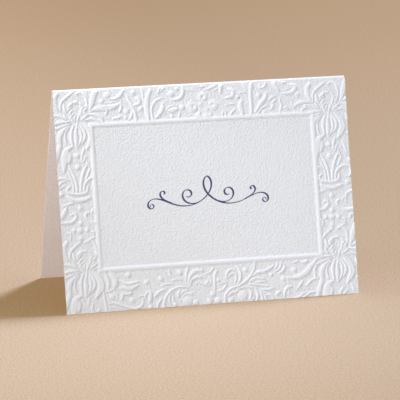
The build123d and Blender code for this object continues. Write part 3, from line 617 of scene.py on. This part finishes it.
def face_of_sheet(rows, cols, first, clear, outer):
    """Quads between the mesh lines of one face of the sheet, with the plain centre left as one
    polygon."""
    number = first + np.arange(rows * cols).reshape(rows, cols)
    top, foot, left, right = clear
    keep = np.ones((rows - 1, cols - 1), bool)
    keep[top:foot, left:right] = False
    quads = np.stack([number[:-1, :-1], number[1:, :-1], number[1:, 1:], number[:-1, 1:]], axis=-1)
    ring = np.concatenate([
        number[top:foot, left],
        number[foot, left:right],
        number[foot:top:-1, right],
        number[top, right:left:-1],
    ])
    faces = quads[keep].tolist() + [ring.tolist()]
    return number, faces if outer else [face[::-1] for face in faces]


def cut_edge(outer, inner, every, turn):
    """Faces of a cut edge, between a line of points of the outer face and one of the inner face."""
    faces = []
    at = 0
    for k in range(len(inner) - 1):
        step = every[k]
        face = [inner[k], inner[k + 1]] + outer[at:at + step + 1][::-1]
        faces.append(face[::-1] if turn else face)
        at += step
    return faces


def card_piece(material):
    """The folded sheet: a dense outer face on the front, a coarser inner one, and the cut edges,
    which meet both faces at a crisp corner."""
    columns = round(CARD_WIDTH / FRONT_PITCH / INNER_STEP) * INNER_STEP
    front_rows = round(PANEL_RUN / FRONT_PITCH / INNER_STEP) * INNER_STEP
    xs = np.linspace(0, CARD_WIDTH, columns + 1)
    front = np.linspace(BEND_LENGTH, PANEL_HEIGHT, front_rows + 1)
    back = np.linspace(-PANEL_HEIGHT, -BEND_LENGTH, BACK_ROWS + 1)
    fold = np.linspace(-BEND_LENGTH, BEND_LENGTH, FOLD_ROWS + 1)[1:-1]
    plain = np.concatenate([back, fold])
    down = np.concatenate([plain, front])
    relief = front_relief(xs, front)
    lift = np.vstack([np.zeros((len(plain), len(xs))), relief])
    outer_points = on_sheet(xs[None, :], down[:, None], lift)

    inner_xs = xs[::INNER_STEP]
    inner_down = np.concatenate([plain, front[::INNER_STEP]])
    hollow = HOLLOW_SHARE * relief[::INNER_STEP, ::INNER_STEP]
    inner_lift = np.vstack([np.zeros((len(plain), len(inner_xs))), hollow]) - SHEET_THICKNESS
    inner_points = on_sheet(inner_xs[None, :], inner_down[:, None], inner_lift)

    def clear_lines(lines, low, high):
        """First and last even mesh line well inside the bead."""
        inside = [i for i in range(0, len(lines), INNER_STEP)
                  if low + CENTRE_EASE < lines[i] < high - CENTRE_EASE]
        return inside[0], inside[-1]

    left, right = clear_lines(xs, SIDE_MARGIN + BEAD_WIDTH, CARD_WIDTH - SIDE_MARGIN - BEAD_WIDTH)
    top, foot = clear_lines(front, TOP_MARGIN + BEAD_WIDTH, PANEL_HEIGHT - BOTTOM_MARGIN - BEAD_WIDTH)
    step = INNER_STEP
    first = len(plain)
    outer, outer_faces = face_of_sheet(
        len(down), len(xs), 0, (first + top, first + foot, left, right), True)
    inner, inner_faces = face_of_sheet(
        len(inner_down), len(inner_xs), outer.size,
        (first + top // step, first + foot // step, left // step, right // step), False)

    along = [1] * len(plain) + [step] * (front_rows // step)
    across = [step] * (columns // step)
    rim = cut_edge(outer[:, 0].tolist(), inner[:, 0].tolist(), along, False)
    rim += cut_edge(outer[:, -1].tolist(), inner[:, -1].tolist(), along, True)
    rim += cut_edge(outer[-1].tolist(), inner[-1].tolist(), across, False)
    rim += cut_edge(outer[0].tolist(), inner[0].tolist(), across, True)

    points = np.vstack([outer_points.reshape(-1, 3), inner_points.reshape(-1, 3)])
    pressed = np.concatenate([np.clip(lift / RELIEF_HEIGHT, 0, 1).ravel(), np.zeros(inner.size)])
    points, faces = without_loose(np.column_stack([points, pressed]), outer_faces + inner_faces + rim)
    piece = mesh_piece("card_sheet", points[:, :3], faces, material)
    piece.data.attributes.new("pressed", "FLOAT", "POINT").data.foreach_set("value", points[:, 3])
    smooth = np.ones(len(faces), bool)
    smooth[-len(rim):] = False
    piece.data.polygons.foreach_set("use_smooth", smooth)
    edge_of_corner = np.empty(len(piece.data.loops), np.int32)
    piece.data.loops.foreach_get("edge_index", edge_of_corner)
    sharp = np.zeros(len(piece.data.edges), bool)
    sharp[edge_of_corner[piece.data.polygons[len(faces) - len(rim)].loop_start:]] = True
    piece.data.edges.foreach_set("use_edge_sharp", sharp)
    return piece


def linear(code):
    """An sRGB hex colour as the linear colour that a shader takes."""
    parts = [int(code[i:i + 2], 16) / 255 for i in (1, 3, 5)]
    return tuple(c / 12.92 if c <= 0.04045 else ((c + 0.055) / 1.055) ** 2.4 for c in parts) + (1.0,)


def per_metre(feature_mm):
    """Noise scale at which one feature of the pattern has this size."""
    return 1 / (feature_mm * MM)


def add(tree, kind, inputs=(), **settings):
    """Adds a node with its settings. inputs pairs a socket with its value or with what feeds it."""
    made = tree.nodes.new(kind)
    for name, value in settings.items():
        setattr(made, name, value)
    for name, value in dict(inputs).items():
        if isinstance(value, bpy.types.NodeSocket):
            tree.links.new(value, made.inputs[name])
        else:
            made.inputs[name].default_value = value
    return made


def blend(tree, factor, low, high, mode="MIX"):
    """Blends two colours by a factor, and gives the colour that comes out."""
    mix = add(tree, "ShaderNodeMix", {"Factor": factor, 6: low, 7: high}, data_type="RGBA", blend_type=mode)
    return mix.outputs[2]


def new_material(name):
    """An empty material, its tree and its object coordinates."""
    material = bpy.data.materials.new(name)
    material.use_nodes = True
    tree = material.node_tree
    tree.nodes.clear()
    place = add(tree, "ShaderNodeTexCoord").outputs["Object"]
    return material, tree, place


def cotton_card():
    """Uncoated cotton card, felt marked on the mill and pressed between dies: dead matt, a soft
    cool white, with a shallow tooth that a raking light picks out and faint cloudy fibre. The die
    irons most of the tooth off the raised strokes."""
    material, tree, place = new_material("uncoated_cotton_card")
    cloud = add(tree, "ShaderNodeTexNoise", {"Vector": place, "Scale": per_metre(CARD_CLOUD), "Detail": 3.0})
    shade = blend(tree, cloud.outputs["Fac"], linear(CARD_SHADE), linear(CARD_WHITE))
    felt = add(tree, "ShaderNodeTexNoise",
               {"Vector": place, "Scale": per_metre(FELT_MARK), "Detail": 2.0, "Roughness": 0.6})
    fibre = add(tree, "ShaderNodeTexNoise",
                {"Vector": place, "Scale": per_metre(FIBRE_MARK), "Detail": 2.0})
    pressed = add(tree, "ShaderNodeAttribute", attribute_name="pressed")
    ironed = add(tree, "ShaderNodeMapRange",
                 {"Value": pressed.outputs["Fac"], "To Min": 1.0, "To Max": IRONED_SHARE})
    tooth = add(tree, "ShaderNodeBump",
                {"Height": felt.outputs["Fac"], "Strength": ironed.outputs["Result"],
                 "Distance": FELT_DEPTH * MM})
    nap = add(tree, "ShaderNodeBump",
              {"Height": fibre.outputs["Fac"], "Strength": 1.0, "Distance": FIBRE_DEPTH * MM,
               "Normal": tooth.outputs["Normal"]})
    paper = add(tree, "ShaderNodeBsdfPrincipled",
                {"Base Color": shade, "Roughness": 0.92, "Specular IOR Level": 0.2,
                 "Normal": nap.outputs["Normal"]})
    add(tree, "ShaderNodeOutputMaterial", {"Surface": paper.outputs["BSDF"]})
    return material


def printing_ink():
    """Blue violet offset ink on uncoated stock: it sinks into the tooth, so it is matt and its
    tone thins a little from one spot to the next."""
    material, tree, place = new_material("blue_violet_ink")
    take = add(tree, "ShaderNodeTexNoise", {"Vector": place, "Scale": per_metre(INK_CLOUD), "Detail": 3.0})
    tone = blend(tree, take.outputs["Fac"], linear(INK_DEEP), linear(INK_THIN))
    ink = add(tree, "ShaderNodeBsdfPrincipled",
              {"Base Color": tone, "Roughness": 0.75, "Specular IOR Level": 0.3})
    add(tree, "ShaderNodeOutputMaterial", {"Surface": ink.outputs["BSDF"]})
    return material


def tan_paper_floor():
    """Plain tan background paper under the card, fine grained and matt. Its colour carries painted
    light falloff: it is darkened a little to the back, the front and the right, as light on a studio
    sweep falls off where it leaves the lamps."""
    material, tree, place = new_material("tan_background_paper")
    grain = add(tree, "ShaderNodeTexNoise",
                {"Vector": place, "Scale": per_metre(FLOOR_GRAIN), "Detail": 3.0})
    deep, pale = GRAIN_LEVELS
    fleck = add(tree, "ShaderNodeMapRange",
                {"Value": grain.outputs["Fac"], "From Min": deep, "From Max": pale})
    tone = blend(tree, fleck.outputs["Result"], linear(FLOOR_DEEP), linear(FLOOR_PALE))
    axes = add(tree, "ShaderNodeSeparateXYZ", {"Vector": place})
    # painted light falloff: the floor's colour is multiplied down along each axis
    for axis, near, far, colour in PAINTED_FLOOR_FALLOFF:
        along = add(tree, "ShaderNodeMapRange",
                    {"Value": axes.outputs[axis], "From Min": near, "From Max": far},
                    interpolation_type="SMOOTHSTEP")
        tone = blend(tree, along.outputs["Result"], tone, linear(colour), "MULTIPLY")
    paper = add(tree, "ShaderNodeBsdfPrincipled",
                {"Base Color": tone, "Roughness": 0.95, "Specular IOR Level": 0.1})
    add(tree, "ShaderNodeOutputMaterial", {"Surface": paper.outputs["BSDF"]})
    return material


def pen_path(start, headings, length):
    """Points of a pen line of this length, from its start, that turns through the headings in
    degrees."""
    way = np.radians(headings)
    steps = np.stack([np.cos(way), np.sin(way)], axis=1) * length / (len(way) - 1)
    return np.array(start) + np.vstack([[0, 0], np.cumsum((steps[1:] + steps[:-1]) / 2, axis=0)])


def pen_line(start, heading, length, sweep, curl, power):
    """A line that turns evenly at first and curls in faster and faster towards its end."""
    s = np.linspace(0, 1, PEN_STEPS)
    return pen_path(start, heading + sweep * s + curl * s ** power, length)


def pen_loop(start, length, turn, power):
    """An upright loop that leaves its start to the upper right and comes back to it."""
    u = np.linspace(1, -1, PEN_STEPS)
    return pen_path(start, turn * np.sign(u) * np.abs(u) ** power, length)


def nib_width(line):
    """Width of a broad nib along a line: a hairline along its slant, full across it, fine at both
    ends."""
    along = np.gradient(line, axis=0)
    across = np.abs(np.sin(np.arctan2(along[:, 1], along[:, 0]) - math.radians(NIB_SLANT)))
    s = np.linspace(0, 1, len(line))
    tip = np.clip(TIP_WIDTH + np.minimum(s, 1 - s) / TIP_SHARE, 0, 1)
    return (HAIRLINE + SWELL * across ** SWELL_POWER) * tip


def pen_strokes():
    """The flourish: one line from curl to curl through the middle loop, and two scrolls on each
    side."""
    halves = [pen_line(*line) for line in PEN_LINES]
    mirrored = [half * (-1, 1) for half in halves]
    long_line = np.vstack([halves[0][:0:-1], pen_loop(*PEN_LOOP), mirrored[0][1:]])
    return [(line, nib_width(line)) for line in [long_line] + halves[1:] + mirrored[1:]]


def ink_line_tree(material):
    """Lays a flat ribbon of ink along each pen stroke, as wide as the nib at each point."""
    tree = bpy.data.node_groups.new("ink_along_pen_strokes", "GeometryNodeTree")
    face = tree.interface
    face.new_socket("Strokes", in_out="INPUT", socket_type="NodeSocketGeometry")
    face.new_socket("Nib corners", in_out="INPUT", socket_type="NodeSocketInt")
    face.new_socket("Ink thickness share", in_out="INPUT", socket_type="NodeSocketFloat")
    face.new_socket("Ink", in_out="OUTPUT", socket_type="NodeSocketGeometry")
    given = add(tree, "NodeGroupInput").outputs
    nib = add(tree, "GeometryNodeCurvePrimitiveCircle",
              {"Resolution": given["Nib corners"], "Radius": 0.5})
    radius = add(tree, "GeometryNodeInputRadius")
    ribbon = add(tree, "GeometryNodeCurveToMesh",
                 {"Curve": given["Strokes"], "Profile Curve": nib.outputs["Curve"],
                  "Scale": radius.outputs["Radius"], "Fill Caps": True})
    squash = add(tree, "ShaderNodeCombineXYZ", {"X": 1.0, "Y": 1.0, "Z": given["Ink thickness share"]})
    flat = add(tree, "GeometryNodeTransform",
               {"Geometry": ribbon.outputs["Mesh"], "Scale": squash.outputs["Vector"]})
    real = add(tree, "GeometryNodeRealizeInstances", {"Geometry": flat.outputs["Geometry"]})
    inked = add(tree, "GeometryNodeSetMaterial",
                {"Geometry": real.outputs["Geometry"], "Material": material})
    add(tree, "NodeGroupOutput", {"Ink": inked.outputs["Geometry"]})
    return tree


def flourish_piece(material):
    """The pen flourish in the middle of the plain centre, printed on the front panel."""
    curve = bpy.data.curves.new("pen_strokes", "CURVE")
    curve.dimensions = "3D"
    for line, nib in pen_strokes():
        spline = curve.splines.new("POLY")
        spline.points.add(len(line) - 1)
        for point, (x, y), width in zip(spline.points, line, nib):
            point.co = (x, y, 0, 1)
            point.radius = width
    strokes = bpy.data.objects.new("pen_strokes", curve)
    bpy.context.scene.collection.objects.link(strokes)
    tree = ink_line_tree(material)
    laid = strokes.modifiers.new("ink", "NODES")
    laid.node_group = tree
    values = {"Nib corners": NIB_CORNERS, "Ink thickness share": INK_SHARE}
    for item in tree.interface.items_tree:
        if item.name in values:
            laid[item.identifier] = values[item.name]
    shown = strokes.evaluated_get(bpy.context.evaluated_depsgraph_get())
    mesh = bpy.data.meshes.new_from_object(shown)
    bpy.data.objects.remove(strokes)
    flat = np.zeros(len(mesh.vertices) * 3)
    mesh.vertices.foreach_get("co", flat)
    x, y, lift = flat.reshape(-1, 3).T
    placed = on_sheet(x + FLOURISH_X, FLOURISH_Y - y, lift)
    mesh.vertices.foreach_set("co", placed.ravel())
    mesh.update()
    piece = bpy.data.objects.new("pen_flourish", mesh)
    bpy.context.scene.collection.objects.link(piece)
    return piece


def floor():
    mesh = bpy.data.meshes.new("floor")
    s = FLOOR_SPAN
    mesh.from_pydata([(-s, -s, 0), (s, -s, 0), (s, s, 0), (-s, s, 0)], [], [(0, 1, 2, 3)])
    mesh.materials.append(tan_paper_floor())
    ground = bpy.data.objects.new("floor", mesh)
    bpy.context.scene.collection.objects.link(ground)


def camera():
    """Long lens, to the left of the front panel and above it, rolled very slightly."""
    yaw, pitch, roll = (math.radians(a) for a in (CAMERA_YAW, CAMERA_PITCH, CAMERA_ROLL))
    ahead = Vector((math.sin(yaw) * math.cos(pitch), math.cos(yaw) * math.cos(pitch), math.sin(pitch)))
    level = Vector((math.cos(yaw), -math.sin(yaw), 0))
    above = level.cross(ahead)
    right = level * math.cos(roll) + above * math.sin(roll)
    up = above * math.cos(roll) - level * math.sin(roll)
    data = bpy.data.cameras.new("camera")
    data.lens = CAMERA_LENS
    data.clip_end = 20
    view = bpy.data.objects.new("camera", data)
    bpy.context.scene.collection.objects.link(view)
    view.matrix_world = Matrix((right, up, -ahead)).transposed().to_4x4()
    view.location = Vector(CAMERA_TARGET) - ahead * CAMERA_DISTANCE
    bpy.context.scene.camera = view


def lamp(name, towards, distance, size, power, colour):
    """A square soft box that lies in the given direction from the card and shines on it."""
    data = bpy.data.lights.new(name, "AREA")
    data.size = size
    data.energy = power
    data.color = linear(colour)[:3]
    light = bpy.data.objects.new(name, data)
    away = Vector(towards).normalized()
    light.location = away * distance + CARD_MIDDLE
    light.rotation_euler = away.to_track_quat("Z", "Y").to_euler()
    bpy.context.scene.collection.objects.link(light)
    return light


def make_beam(light, width, spread, aim):
    """Puts a grid on a lamp's soft box and turns it to a point, so that its light fades to each side
    of that point. The box is this wide, and its other side stands square to the front panel."""
    light.data.shape = "RECTANGLE"
    light.data.size_y = light.data.size
    light.data.size = width
    light.data.spread = spread
    back = (light.location - aim).normalized()
    across = Vector((0, -math.cos(LEAN), math.sin(LEAN))).cross(back).normalized()
    turn = Matrix((across, back.cross(across), back)).transposed()
    light.rotation_euler = turn.to_euler()


def studio(card_pieces):
    """Even soft light and four lamps. The front and the raking lamp shine on the card alone and
    bring out the emboss: the front one fades to the lower left, and the raking one comes from the
    upper left. The bounce lamp is the warm light that comes off the floor between the panels. The
    side lamp throws the card's shadow to the front left over the floor."""
    world = bpy.data.worlds.new("soft_room")
    world.use_nodes = True
    world.node_tree.nodes["Background"].inputs["Color"].default_value = linear(ROOM_COLOUR)
    world.node_tree.nodes["Background"].inputs["Strength"].default_value = ROOM_LEVEL
    bpy.context.scene.world = world
    bpy.context.scene.view_settings.view_transform = "Standard"
    only_card = bpy.data.collections.new("only_card")
    for piece in card_pieces:
        only_card.objects.link(piece)
    front = lamp("front_lamp", FRONT_FROM, FRONT_AWAY, FRONT_SIZE, FRONT_POWER, FRONT_COLOUR)
    rake = lamp("raking_lamp", RAKE_FROM, RAKE_AWAY, RAKE_SIZE, RAKE_POWER, RAKE_COLOUR)
    bounce = lamp(
        "floor_bounce_lamp", BOUNCE_FROM, BOUNCE_AWAY, BOUNCE_SIZE, BOUNCE_POWER, BOUNCE_COLOUR)
    make_beam(front, FRONT_SIZE, FRONT_SPREAD, FRONT_AIM)
    make_beam(rake, RAKE_WIDTH, RAKE_SPREAD, CARD_MIDDLE)
    for light in (front, rake, bounce):
        light.light_linking.receiver_collection = only_card
    bounce.light_linking.blocker_collection = only_card
    lamp("side_lamp", SIDE_FROM, SIDE_AWAY, SIDE_SIZE, SIDE_POWER, SIDE_COLOUR)


card = card_piece(cotton_card())
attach(card, "root")
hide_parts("card")

flourish = flourish_piece(printing_ink())
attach(flourish, "root")

floor()
camera()
studio([card, flourish])
